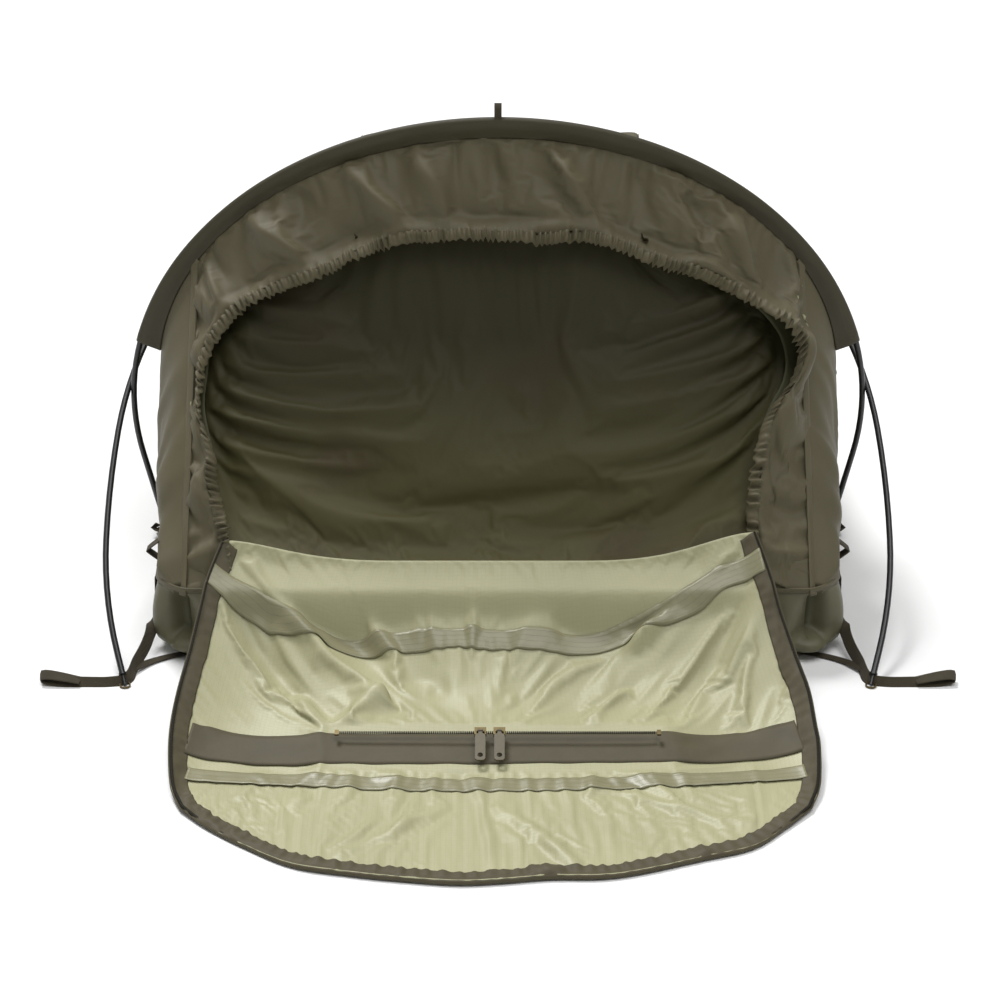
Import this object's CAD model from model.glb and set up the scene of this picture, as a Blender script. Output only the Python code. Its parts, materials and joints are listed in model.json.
import json
import math

import bpy
import numpy as np
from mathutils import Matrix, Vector


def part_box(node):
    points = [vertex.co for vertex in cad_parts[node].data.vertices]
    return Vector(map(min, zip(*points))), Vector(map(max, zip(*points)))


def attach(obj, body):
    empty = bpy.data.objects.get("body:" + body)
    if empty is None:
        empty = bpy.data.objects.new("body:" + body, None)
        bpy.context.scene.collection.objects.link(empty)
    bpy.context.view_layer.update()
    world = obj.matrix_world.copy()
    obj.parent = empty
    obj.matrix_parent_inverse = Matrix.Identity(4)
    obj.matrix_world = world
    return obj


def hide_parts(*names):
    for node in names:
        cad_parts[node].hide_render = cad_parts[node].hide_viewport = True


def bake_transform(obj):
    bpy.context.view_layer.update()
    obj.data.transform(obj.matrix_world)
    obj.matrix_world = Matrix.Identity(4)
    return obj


# Looks of a hooped bivy sack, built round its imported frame. Metres, +Z up, doorway towards -Y.
# Every sheet of fabric is a grid of points: it starts on the frame's own surface, is settled as
# cloth with a little spare length, and is then refined, puckered and given its weave.

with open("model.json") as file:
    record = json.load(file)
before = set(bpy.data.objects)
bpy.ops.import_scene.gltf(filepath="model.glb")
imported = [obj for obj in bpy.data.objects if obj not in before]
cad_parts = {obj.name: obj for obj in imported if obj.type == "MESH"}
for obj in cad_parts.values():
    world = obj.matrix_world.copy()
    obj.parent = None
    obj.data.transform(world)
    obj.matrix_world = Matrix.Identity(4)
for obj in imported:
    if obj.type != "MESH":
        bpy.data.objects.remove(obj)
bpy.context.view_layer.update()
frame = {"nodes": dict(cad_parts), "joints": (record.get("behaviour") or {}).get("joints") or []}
joints = {joint["name"]: joint for joint in frame["joints"]}

# ---- places and sizes that come from the frame --------------------------------------------
TUB_LOW, TUB_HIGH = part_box("groundsheet_tub")
HINGE = Vector(joints["door_fold"]["pos_m"])
FRONT_Y = TUB_LOW.y
TAIL_Y = TUB_HIGH.y
FEET_Y = FRONT_Y - 0.078
HOOD_Y = FEET_Y + 0.388
REAR_ARCH_Y = FEET_Y + 0.786
SEAM_X = 0.42             # vertical seam between facade and side panel
COIL_W, COIL_H = 0.005, 0.0024

# Cross-sections of the sack: y, half width, height where the walls turn in, crown height.
STATIONS = np.array([
    (FRONT_Y, 0.428, 0.100, 0.118),
    (FRONT_Y + 0.034, 0.460, 0.121, 0.175),
    (HOOD_Y, 0.478, 0.290, 0.636),
    (FEET_Y + 0.547, 0.471, 0.242, 0.573),
    (REAR_ARCH_Y, 0.454, 0.190, 0.478),
    (FEET_Y + 1.250, 0.413, 0.150, 0.325),
    (FEET_Y + 1.700, 0.367, 0.098, 0.205),
    (FEET_Y + 2.080, 0.325, 0.060, 0.112),
    (TAIL_Y, 0.296, 0.032, 0.050),
])
SEAM_LINE = np.array([(FRONT_Y, 0.105), (FEET_Y + 1.25, 0.100), (FEET_Y + 1.70, 0.066),
                      (FEET_Y + 2.08, 0.038), (TAIL_Y, 0.020)])

# The gathered hem round the doorway, left to right, as x and height.
RIM = [(-0.362, 0.118), (-0.370, 0.159), (-0.387, 0.216), (-0.390, 0.250), (-0.404, 0.296),
       (-0.402, 0.335), (-0.396, 0.366), (-0.372, 0.402), (-0.336, 0.433), (-0.288, 0.456),
       (-0.229, 0.479), (-0.190, 0.498), (-0.131, 0.518), (-0.060, 0.524), (0.005, 0.523),
       (0.070, 0.520), (0.110, 0.522), (0.150, 0.514), (0.194, 0.497), (0.238, 0.481),
       (0.282, 0.467), (0.326, 0.442), (0.366, 0.411), (0.390, 0.381), (0.398, 0.352),
       (0.392, 0.328), (0.376, 0.308), (0.364, 0.286), (0.356, 0.250), (0.349, 0.219),
       (0.345, 0.190), (0.346, 0.160), (0.345, 0.120)]

# The door's edge from its left corner round the bottom to its right corner: x, y from the feet.
DOOR_LEFT = [(-0.367, 0.100), (-0.389, 0.040), (-0.401, -0.038), (-0.410, -0.101),
             (-0.413, -0.155), (-0.410, -0.205), (-0.401, -0.262), (-0.386, -0.301)]
DOOR_BOTTOM = [(-0.386, -0.301), (-0.349, -0.341), (-0.297, -0.384), (-0.240, -0.422),
               (-0.170, -0.440), (-0.114, -0.450), (-0.050, -0.458), (0.000, -0.455),
               (0.060, -0.447), (0.119, -0.446), (0.165, -0.436), (0.238, -0.409),
               (0.302, -0.384), (0.346, -0.341), (0.381, -0.301)]
DOOR_RIGHT = [(0.343, 0.106), (0.366, 0.041), (0.389, -0.054), (0.399, -0.101),
              (0.402, -0.155), (0.403, -0.190), (0.396, -0.256), (0.381, -0.301)]
DOOR_RAMP = 0.460
SILL_Z = HINGE.z
VENT_Y = FEET_Y - 0.186
VENT_BAND = 0.042
VENT_HALF = 0.200

# Hoops: plane's foot line, tilt, and the tangent arcs of one half from crown to sleeve end.
FRONT_FEET_Y, FRONT_TILT = FEET_Y + 0.414, math.radians(87.5)
REAR_TILT = math.radians(32.6)
FRONT_ELLIPSE = (0.521, 0.231, 0.429)
REAR_ELLIPSE = (0.542, 0.307, 0.744)
POLE_R = 0.00425
WEBBING = 0.0016          # webbing's thickness
STRAP = 0.017             # and a peg strap's width
SIDES = ((1, "right"), (-1, "left"))
STITCH = 0.0034
THREAD_PITCH = 0.0009

# The camera stands this far in front of the pole feet, and looks down by this many degrees.
CAMERA_BACK, CAMERA_HEIGHT, CAMERA_SIDE = 2.858, 1.65, 0.0027
CAMERA_DIP, CAMERA_LENS = 25.665, 89.28


# ---- numbers and curves -------------------------------------------------------------------
def smooth(x):
    """A soft step from 0 to 1 while x goes from 0 to 1."""
    x = np.clip(x, 0.0, 1.0)
    return x * x * (3 - 2 * x)


def unit(vectors):
    """The vectors along the last axis, each with length 1."""
    return vectors / np.maximum(np.linalg.norm(vectors, axis=-1, keepdims=True), 1e-9)


def distance_along(line):
    """Length of the line up to each of its points."""
    return np.concatenate([[0], np.cumsum(np.linalg.norm(np.diff(line, axis=0), axis=1))])


def along_line(want, at, line):
    """Points at the places want of a line whose points are at the places at."""
    return np.stack([np.interp(want, at, column) for column in line.T], 1)


def spline(points, count):
    """count points spaced evenly along a Catmull-Rom curve through the given ones."""
    fine = upsample(np.asarray(points, float), 16)
    at = distance_along(fine)
    return along_line(np.linspace(0, at[-1], count), at, fine)


def upsample(p, times):
    """Catmull-Rom refinement along the first axis."""
    first = 2 * p[0] - p[1]
    last = 2 * p[-1] - p[-2]
    q = np.concatenate([[first], p, [last]])
    t = np.linspace(0, 1, times, endpoint=False).reshape((1, -1) + (1,) * (p.ndim - 1))
    a, b, c, d = (q[i:len(q) - 3 + i][:, None] for i in range(4))
    fine = 0.5 * (2 * b + (c - a) * t + (2 * a - 5 * b + 4 * c - d) * t ** 2
                  + (3 * b - a - 3 * c + d) * t ** 3)
    fine = fine.reshape((-1,) + p.shape[1:])
    return np.concatenate([fine, [p[-1]]])


def refine(grid, times=2):
    """Catmull-Rom refinement along both axes."""
    once = upsample(grid, times)
    return upsample(once.swapaxes(0, 1), times).swapaxes(0, 1)


def wander(x, spacing, seed):
    """Smooth random line with values near -1 to 1, and a new value every spacing."""
    x = np.asarray(x, float)
    low = math.floor(x.min() / spacing) - 1
    count = int((x.max() - x.min()) / spacing) + 5
    knots = np.random.default_rng(seed).uniform(-1, 1, count)
    at = x / spacing - low
    i = np.clip(at.astype(int), 0, count - 2)
    return knots[i] + (knots[i + 1] - knots[i]) * smooth(at - i)


def rough(x, y, size, seed):
    """Smooth random field over two coordinates."""
    rng = np.random.default_rng(seed)
    total = np.zeros(np.broadcast(x, y).shape)
    for k in range(10):
        angle, phase = rng.uniform(0, math.tau, 2)
        scale = size * rng.uniform(0.6, 1.8)
        along = x * math.cos(angle) + y * math.sin(angle)
        total = total + np.sin(math.tau * along / scale + phase)
    return total / 4.0


def normals(grid):
    """Unit normals of a grid of points."""
    across = np.gradient(grid, axis=0)
    along = np.gradient(grid, axis=1)
    return unit(np.cross(across, along))


def coons(bottom, top, left, right):
    """Grid between four edges; bottom and top run left to right, the sides run upwards."""
    u = np.linspace(0, 1, len(bottom))[:, None, None]
    v = np.linspace(0, 1, len(left))[None, :, None]
    b, t, l, r = bottom[:, None], top[:, None], left[None], right[None]
    corners = ((1 - u) * (1 - v) * bottom[0] + u * (1 - v) * bottom[-1]
               + (1 - u) * v * top[0] + u * v * top[-1])
    return (1 - v) * b + v * t + (1 - u) * l + u * r - corners


# ---- the sack's surface -------------------------------------------------------------------
def section(y):
    """Half width, turn height and crown height at y, smoothed between the stations."""
    y = np.asarray(y, float)
    rows = []
    for column in (1, 2, 3):
        fine_y = np.linspace(STATIONS[0, 0], STATIONS[-1, 0], 900)
        values = np.interp(fine_y, STATIONS[:, 0], STATIONS[:, column])
        behind = fine_y > HOOD_Y + 0.04
        soft = np.convolve(np.pad(values, 30, mode="edge"), np.ones(61) / 61, "valid")
        values = np.where(behind, values + (soft - values) * smooth((fine_y - HOOD_Y - 0.04) / 0.1),
                          values)
        rows.append(np.interp(y, fine_y, values))
    return rows


def arch_point(y, angle):
    """Point of the section at y, with the angle turning from the right side to the left."""
    half, turn, crown = section(y)
    return np.stack([half * np.cos(angle), y + 0 * angle,
                     turn + (crown - turn) * np.sin(angle)], -1)


def facade(x, z):
    """Points on the sloping front that have this x and height."""
    x, z = np.broadcast_arrays(np.asarray(x, float), np.asarray(z, float))
    low = np.full(x.shape, FRONT_Y)
    high = np.full(x.shape, HOOD_Y)
    for _ in range(40):
        middle = (low + high) / 2
        half, turn, crown = section(middle)
        inside = 1 - (x / half) ** 2
        height = np.where(inside > 0, turn + (crown - turn) * np.sqrt(np.maximum(inside, 0)), -1)
        above = height > z
        high = np.where(above, middle, high)
        low = np.where(above, low, middle)
    return np.stack([x, (low + high) / 2, z], -1)


def seam_height(y):
    """Height of the groundsheet's upper seam at y."""
    return np.interp(y, SEAM_LINE[:, 0], SEAM_LINE[:, 1])


# ---- meshes -------------------------------------------------------------------------------
def mesh_object(name, points, faces, uvs=None):
    """A smooth-shaded mesh in the scene, with UV coordinates in metres where they are given."""
    mesh = bpy.data.meshes.new(name)
    mesh.from_pydata(np.asarray(points).reshape(-1, 3).tolist(), [], faces)
    mesh.polygons.foreach_set("use_smooth", [True] * len(mesh.polygons))
    if uvs is not None:
        layer = mesh.uv_layers.new(name="UVMap")
        loops = np.zeros(len(mesh.loops), int)
        mesh.loops.foreach_get("vertex_index", loops)
        layer.data.foreach_set("uv", np.asarray(uvs, float).reshape(-1, 2)[loops].ravel())
    mesh.update()
    obj = bpy.data.objects.new(name, mesh)
    bpy.context.scene.collection.objects.link(obj)
    return obj


def grid_faces(m, n, start=0):
    """Quads of a grid with m rows of n points, whose first point has the number start."""
    faces = []
    for i in range(m - 1):
        a, b = i * n + start, (i + 1) * n + start
        faces += [(a + j, a + j + 1, b + j + 1, b + j) for j in range(n - 1)]
    return faces


def arc_uv(grid):
    """Coordinates in metres along the cloth, from the grid's own spacing."""
    du = np.linalg.norm(np.diff(grid, axis=0), axis=2).mean(1)
    dv = np.linalg.norm(np.diff(grid, axis=1), axis=2).mean(0)
    u = np.concatenate([[0], np.cumsum(du)])
    v = np.concatenate([[0], np.cumsum(dv)])
    return np.stack(np.meshgrid(u, v, indexing="ij"), -1)


def cloth_piece(name, grid, materials, body="shell", thick=0.0008, flip=False):
    """One sheet from a grid of points; materials are its face and its reverse."""
    m, n = grid.shape[:2]
    faces = grid_faces(m, n)
    if flip:
        faces = [face[::-1] for face in faces]
    obj = mesh_object(name, grid, faces, arc_uv(grid))
    finish_sheet(obj, materials, thick)
    if body:
        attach(obj, body)
    return obj


def finish_sheet(obj, materials, thick):
    """Materials and thickness; a second material goes on the reverse."""
    for material in materials:
        obj.data.materials.append(material)
    if thick:
        modifier = obj.modifiers.new("cloth_thickness", "SOLIDIFY")
        modifier.thickness = thick
        modifier.offset = -1.0
        modifier.use_even_offset = False
        if len(materials) > 1:
            modifier.material_offset = 1
            modifier.material_offset_rim = 0


# ---- cloth --------------------------------------------------------------------------------
def weigh(obj, name, weights):
    """A vertex group with the grid's weights."""
    group = obj.vertex_groups.new(name=name)
    for index, weight in enumerate(np.asarray(weights, float).ravel()):
        if weight > 0:
            group.add([index], float(weight), "REPLACE")


def settle(grid, pinned, spare, frames=24, pull=(0, 0, -3.0), bend=0.6, more=None, floor=False):
    """The grid after a short cloth simulation, with that share of spare length.
    pinned has the weights that hold points in place; more adds spare length where it is 1."""
    m, n = grid.shape[:2]
    obj = mesh_object("settling", grid, grid_faces(m, n))
    weigh(obj, "hold", pinned)
    cloth = obj.modifiers.new("cloth", "CLOTH")
    settings = cloth.settings
    settings.quality = 5
    settings.mass = 0.12
    settings.air_damping = 2.0
    settings.tension_stiffness = 18
    settings.compression_stiffness = 18
    settings.shear_stiffness = 8
    settings.bending_stiffness = bend
    settings.tension_damping = settings.compression_damping = 8
    settings.vertex_group_mass = "hold"
    settings.pin_stiffness = 1.0
    settings.shrink_min = -spare
    if more is not None:
        weigh(obj, "extra", more[0])
        settings.vertex_group_shrink = "extra"
        settings.shrink_max = -more[1]
    cloth.collision_settings.use_collision = floor
    cloth.collision_settings.distance_min = 0.002
    scene = bpy.context.scene
    scene.gravity = pull
    cloth.point_cache.frame_start = 1
    cloth.point_cache.frame_end = frames
    ground = None
    if floor:
        edge = 1.5
        ground = mesh_object("settling_floor", [(-edge, -3, 0), (edge, -3, 0), (edge, 1, 0),
                                                (-edge, 1, 0)], [(0, 1, 2, 3)])
        ground.modifiers.new("collision", "COLLISION")
        ground.collision.thickness_outer = 0.002
    for number in range(1, frames + 1):
        scene.frame_set(number)
    settled = obj.evaluated_get(bpy.context.evaluated_depsgraph_get()).data
    co = np.zeros(m * n * 3)
    settled.vertices.foreach_get("co", co)
    for used in filter(None, (obj, ground)):
        bpy.data.objects.remove(used)
    scene.frame_set(1)
    scene.gravity = (0, 0, -9.81)
    return co.reshape(m, n, 3)


# ---- materials ----------------------------------------------------------------------------
class Nodes:
    """Short calls for building one material's nodes."""

    def __init__(self, name):
        self.material = bpy.data.materials.new(name)
        self.material.use_nodes = True
        self.tree = self.material.node_tree
        self.tree.nodes.clear()
        self.output = self.tree.nodes.new("ShaderNodeOutputMaterial")
        self.shader = self.tree.nodes.new("ShaderNodeBsdfPrincipled")
        self.link(self.shader.outputs["BSDF"], self.output.inputs["Surface"])
        self.coords = self.tree.nodes.new("ShaderNodeTexCoord")

    def link(self, a, b):
        self.tree.links.new(a, b)

    def set(self, **values):
        for key, value in values.items():
            self.shader.inputs[key.replace("_", " ")].default_value = value

    def math(self, operation, a, b=None, clamp=False):
        node = self.tree.nodes.new("ShaderNodeMath")
        node.operation = operation
        node.use_clamp = clamp
        for index, value in enumerate((a, b)):
            if value is None:
                continue
            if isinstance(value, (int, float)):
                node.inputs[index].default_value = value
            else:
                self.link(value, node.inputs[index])
        return node.outputs[0]

    def noise(self, scale, detail=3.0, roughness=0.55, stretch=None):
        node = self.tree.nodes.new("ShaderNodeTexNoise")
        node.inputs["Scale"].default_value = scale
        node.inputs["Detail"].default_value = detail
        node.inputs["Roughness"].default_value = roughness
        vector = self.coords.outputs["Object"]
        if stretch:
            mapping = self.tree.nodes.new("ShaderNodeMapping")
            mapping.inputs["Scale"].default_value = stretch
            self.link(vector, mapping.inputs["Vector"])
            vector = mapping.outputs["Vector"]
        self.link(vector, node.inputs["Vector"])
        return node.outputs["Fac"]

    def uv(self):
        node = self.tree.nodes.new("ShaderNodeSeparateXYZ")
        self.link(self.coords.outputs["UV"], node.inputs[0])
        return node.outputs[0], node.outputs[1]

    def lines(self, value, period, share, phase=0.0):
        """1 on thin lines across a coordinate, 0 between them."""
        turned = self.math("FRACT", self.math("DIVIDE", self.math("ADD", value, phase), period))
        away = self.math("ABSOLUTE", self.math("SUBTRACT", turned, 0.5))
        return self.math("GREATER_THAN", self.math("MULTIPLY", away, 2.0), 1 - share)

    def waves(self, value, period):
        return self.math("SINE", self.math("MULTIPLY", value, math.tau / period))

    def mix(self, factor, a, b):
        node = self.tree.nodes.new("ShaderNodeMix")
        node.data_type = "RGBA"
        for index, value in ((0, factor), (6, a), (7, b)):
            if isinstance(value, (int, float)):
                node.inputs[index].default_value = value
            elif isinstance(value, tuple):
                node.inputs[index].default_value = (*value, 1.0)
            else:
                self.link(value, node.inputs[index])
        return node.outputs[2]

    def colour(self, value):
        self.link(value, self.shader.inputs["Base Color"])

    def bump(self, height, distance, strength=1.0):
        node = self.tree.nodes.new("ShaderNodeBump")
        node.inputs["Strength"].default_value = strength
        node.inputs["Distance"].default_value = distance
        self.link(height, node.inputs["Height"])
        self.link(node.outputs["Normal"], self.shader.inputs["Normal"])


def srgb(r, g, b):
    """Linear colour of an sRGB one given from 0 to 255."""
    return tuple(((c / 255 + 0.055) / 1.055) ** 2.4 for c in (r, g, b))


def scaled(colour, factor):
    """A colour made lighter or darker."""
    return tuple(c * factor for c in colour)


def woven(name, colour, gloss, sheen, specular=0.4):
    """Coated fabric: weave, faint creasing and uneven colour."""
    n = Nodes(name)
    n.set(Roughness=gloss, Sheen_Weight=sheen, Sheen_Roughness=0.5, Specular_IOR_Level=specular)
    patch = n.noise(9.0, 4.0)
    grain = n.noise(420.0, 2.0)
    tone = n.math("ADD", n.math("MULTIPLY", patch, 0.7), n.math("MULTIPLY", grain, 0.3))
    u, v = n.uv()
    threads = n.math("ADD", n.waves(u, THREAD_PITCH), n.waves(v, THREAD_PITCH))
    height = n.math("MULTIPLY", threads, 0.06)
    creases = n.math("MULTIPLY", n.noise(38.0, 5.0, 0.62), 0.6)
    creases = n.math("ADD", creases, n.math("MULTIPLY", n.noise(15.0, 3.0), 2.0))
    n.colour(n.mix(tone, scaled(colour, 0.84), scaled(colour, 1.16)))
    n.bump(n.math("ADD", height, creases), 0.001, 0.55)
    return n.material


def lining():
    """Pale film-faced lining with a fine ripstop grid."""
    colour = srgb(165, 163, 128)
    n = Nodes("lining_ripstop")
    n.set(Roughness=0.46, Sheen_Weight=0.02, Specular_IOR_Level=0.42)
    u, v = n.uv()
    grid = n.math("MAXIMUM", n.lines(u, 0.0063, 0.13), n.lines(v, 0.0050, 0.13))
    patch = n.noise(7.0, 4.0)
    tint = n.mix(patch, scaled(colour, 0.86), scaled(colour, 1.10))
    tint = n.mix(n.math("MULTIPLY", grid, 0.16), tint, srgb(140, 140, 104))
    n.colour(tint)
    crumple = n.noise(55.0, 6.0, 0.6)
    height = n.math("ADD", n.math("MULTIPLY", crumple, 0.7), n.math("MULTIPLY", grid, 0.08))
    n.bump(height, 0.001, 0.6)
    return n.material


def sealing_tape():
    """Heat-welded tape with fine lines along it."""
    n = Nodes("seam_tape")
    n.set(Roughness=0.38, Specular_IOR_Level=0.5)
    lines = n.lines(n.uv()[1], 0.0075, 0.09, 0.002)
    patch = n.noise(14.0, 4.0, stretch=(1.0, 6.0, 6.0))
    base = srgb(132, 129, 100)
    tint = n.mix(patch, scaled(base, 0.80), scaled(base, 1.12))
    tint = n.mix(n.math("MULTIPLY", lines, 0.45), tint, srgb(104, 100, 78))
    n.colour(tint)
    height = n.math("SUBTRACT", n.noise(70.0, 5.0), n.math("MULTIPLY", lines, 0.3))
    n.bump(height, 0.0008, 0.5)
    return n.material


def binding():
    """Ribbed grosgrain and coated strip, taupe."""
    base = srgb(76, 70, 51)
    n = Nodes("binding_tape")
    n.set(Roughness=0.62, Sheen_Weight=0.05, Specular_IOR_Level=0.3)
    ribs = n.waves(n.uv()[0], 0.0012)
    patch = n.noise(22.0, 4.0)
    n.colour(n.mix(patch, scaled(base, 0.78), scaled(base, 1.22)))
    height = n.math("ADD", n.math("MULTIPLY", ribs, 0.05), n.noise(80.0, 4.0))
    n.bump(height, 0.0007, 0.5)
    return n.material


def webbing_material():
    """Coarse flat weave."""
    base = srgb(62, 56, 42)
    n = Nodes("webbing_weave")
    n.set(Roughness=0.75, Sheen_Weight=0.05, Specular_IOR_Level=0.25)
    u, v = n.uv()
    ribs = n.math("MULTIPLY", n.waves(u, 0.0022), n.waves(v, 0.0032))
    patch = n.noise(60.0, 3.0)
    tone = n.math("ADD", n.math("MULTIPLY", ribs, 0.25), patch)
    n.colour(n.mix(tone, scaled(base, 0.65), scaled(base, 1.35)))
    n.bump(ribs, 0.0004, 0.8)
    return n.material


def mesh_net():
    """Fine dark netting; its holes are far below what a lens sees, so it is partly clear."""
    base = srgb(54, 51, 30)
    n = Nodes("net_mesh")
    n.set(Roughness=0.55, Specular_IOR_Level=0.22, Alpha=0.90)
    u, v = n.uv()
    patch = n.noise(5.0, 4.0)
    threads = n.math("MULTIPLY", n.waves(u, 0.0011), n.waves(v, 0.0011))
    dusk = n.math("MULTIPLY", n.math("SUBTRACT", v, 0.10), 4.0, clamp=True)
    body = n.mix(dusk, scaled(base, 2.1), scaled(base, 0.85))
    warm = n.mix(n.math("MULTIPLY", n.math("SUBTRACT", patch, 0.55), 3.0, clamp=True), body,
                 scaled(srgb(66, 50, 36), 0.8))
    n.colour(warm)
    n.bump(threads, 0.0001, 0.6)
    return n.material


def plain(name, colour, gloss, metallic=0.0, speck=0.12, coat=0.0, specular=0.5):
    """Metal, plastic or cord in one slightly uneven colour."""
    n = Nodes(name)
    n.set(Roughness=gloss, Metallic=metallic, Coat_Weight=coat, Coat_Roughness=0.2,
          Specular_IOR_Level=specular)
    patch = n.noise(120.0, 4.0)
    n.colour(n.mix(patch, scaled(colour, 1 - speck), scaled(colour, 1 + speck)))
    n.bump(n.noise(600.0, 2.0), 0.0001, 0.3)
    return n.material


OLIVE = woven("shell_fabric", srgb(88, 82, 60), gloss=0.52, sheen=0.04, specular=0.3)
TUB = woven("groundsheet_fabric", srgb(94, 92, 68), gloss=0.45, sheen=0.03)
SLEEVE = woven("sleeve_fabric", srgb(60, 56, 38), gloss=0.50, sheen=0.04, specular=0.3)
LINING = lining()
FLANGE = woven("flange_fabric", srgb(78, 78, 56), gloss=0.6, sheen=0.02, specular=0.25)
TAPE = sealing_tape()
BINDING = binding()
WEB = webbing_material()
NET = mesh_net()
COIL = plain("zip_coil", srgb(40, 37, 28), 0.6, specular=0.2)
BRASS = plain("antique_brass", srgb(92, 80, 50), 0.45, metallic=0.7, speck=0.3)
PULL = plain("pull_tab", srgb(80, 74, 58), 0.42, metallic=0.35, speck=0.2)
POLE = plain("pole_black", srgb(26, 27, 28), 0.36, metallic=0.2, coat=0.2)
ALUMINIUM = plain("bare_aluminium", srgb(190, 190, 190), 0.35, metallic=1.0)
ELASTIC = plain("elastic_cord", srgb(36, 36, 36), 0.8)
THREAD = plain("thread", srgb(70, 66, 50), 0.8)


# ---- hoops and sleeves --------------------------------------------------------------------
def arc_chain(points):
    """Tangent arcs through the points, starting level at the crown."""
    tangent = np.array([1.0, 0.0])
    out = [np.array(points[0])]
    for start, end in zip(points, points[1:]):
        start, chord = np.array(start), np.array(end) - np.array(start)
        normal = np.array([-tangent[1], tangent[0]])
        curve = 2 * chord @ normal / (chord @ chord)
        angle = 2 * math.atan2(chord @ normal, chord @ tangent)
        count = max(2, int(np.linalg.norm(chord) / 0.008))
        for k in range(1, count + 1):
            a = angle * k / count
            out.append(start + tangent * math.sin(a) / curve + normal * (1 - math.cos(a)) / curve)
        c, s = math.cos(angle), math.sin(angle)
        tangent = np.array([[c, -s], [s, c]]) @ tangent
    return np.array(out)


def on_ellipse(ellipse, degrees):
    """Point of an ellipse given as half width, middle height and rise."""
    half, middle, rise = ellipse
    a = math.radians(degrees)
    return half * math.cos(a), middle + rise * math.sin(a)


def hoop_path(crown, foot_y, tilt, side, count):
    """Evenly spaced points of a hoop, left sleeve end to right sleeve end, in the row frame."""
    half = arc_chain(crown)
    flat = np.concatenate([half[:0:-1] * (-1, 1), half])
    flat = spline(flat, count)
    height = flat[:, 1]
    return np.stack([flat[:, 0], foot_y + side * height * math.cos(tilt),
                     height * math.sin(tilt)], 1)


def seat(path, plane_y=None):
    """Where the sleeve's web meets the sack, for each point of a hoop."""
    y = path[:, 1] if plane_y is None else np.full(len(path), plane_y)
    half, turn, crown = section(y)
    angle = np.arctan2((path[:, 2] - turn) / (crown - turn), path[:, 0] / half)
    return arch_point(y, angle)


def sleeve(name, path, seats, cad_node):
    """A flat sewn tube round the pole, with hemmed open ends."""
    s = distance_along(path)
    along = unit(np.gradient(path, axis=0))
    out = path - seats
    depth = np.linalg.norm(out, axis=1)
    out /= depth[:, None]
    out -= along * (out * along).sum(1)[:, None]
    out = unit(out)
    front = np.cross(along, out)
    radius = POLE_R + 0.0018
    profile = []
    for share in (0.0, 0.15, 0.35, 0.55, 0.75):
        profile.append(("web", share, 1))
    for degrees in (80, 50, 20, 0, -20, -50, -80):
        profile.append(("nose", math.radians(degrees), 0))
    for share in (0.75, 0.55, 0.35, 0.15, 0.0):
        profile.append(("web", share, -1))
    rows = []
    for kind, value, side in profile:
        if kind == "nose":
            o, f = radius * math.cos(value), radius * math.sin(value)
            rows.append(path + out * o + front * f)
        else:
            puff = 0.0016 + (radius - 0.0016) * smooth(value)
            slack = 0.0010 * np.sin(math.pi * value) * (1 + wander(s, 0.035, 5 + side))
            reach = -depth * (1 - value)
            rows.append(path + out * reach[:, None] + front * (side * (puff + slack))[:, None])
    grid = np.stack(rows, 1)
    grid = refine(grid, 2)
    obj = cloth_piece(name, grid, [SLEEVE], thick=0.0007, flip=True)
    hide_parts(cad_node)
    hems(name, grid)
    return obj


def hems(name, grid):
    """Two rows of stitches round each open end of a sleeve."""
    spacing = np.linalg.norm(grid[1, 0] - grid[0, 0])
    stitches = []
    for inset in (0.010, 0.013):
        k = max(1, int(round(inset / spacing)))
        for row in (k, len(grid) - 1 - k):
            stitches.append(grid[row])
    thread(name + "_hem_stitches", stitches)


def thread(name, lines):
    """Short stitches along the given lines, as one piece."""
    points, faces = [], []
    for line in lines:
        count = max(2, int(distance_along(line)[-1] / STITCH))
        dots = spline(line, 2 * count + 1)
        for k in range(0, 2 * count, 2):
            tube_ring(points, faces, dots[k], dots[k + 1], 0.00035)
    obj = mesh_object(name, points, faces)
    obj.data.materials.append(THREAD)
    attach(obj, "shell")


def tube_ring(points, faces, a, b, radius):
    """One straight stitch between a and b."""
    sides = 5
    if np.linalg.norm(b - a) < 1e-6:
        return
    d = unit(b - a)
    side = unit(np.cross(d, (0.3, 0.5, 0.81)))
    up = np.cross(d, side)
    start = len(points)
    for end in (a, b):
        for k in range(sides):
            angle = math.tau * k / sides
            points.append(end + radius * (side * math.cos(angle) + up * math.sin(angle)))
    for k in range(sides):
        j = (k + 1) % sides
        faces.append((start + k, start + j, start + sides + j, start + sides + k))
    faces.append(tuple(start + k for k in reversed(range(sides))))
    faces.append(tuple(start + sides + k for k in range(sides)))


front_crown = [(0.0, FRONT_ELLIPSE[1] + FRONT_ELLIPSE[2])]
front_crown += [on_ellipse(FRONT_ELLIPSE, a) for a in (70, 52, 34, 14)]
rear_crown = [(0.0, 0.930), (0.172, 0.908), (0.332, 0.838), (0.452, 0.705)]
rear_crown += [on_ellipse(REAR_ELLIPSE, 20)]
front_path = hoop_path(front_crown, FRONT_FEET_Y, FRONT_TILT, -1, 180)
rear_path = hoop_path(rear_crown, FEET_Y, REAR_TILT, 1, 180)
front_seat = seat(front_path, HOOD_Y)
rear_seat = seat(rear_path)


def make_sleeves():
    """Pole sleeves of both hoops."""
    sleeve("front_sleeve", front_path, front_seat, "front_pole_sleeve")
    sleeve("rear_sleeve", rear_path, rear_seat, "rear_pole_sleeve")


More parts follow.
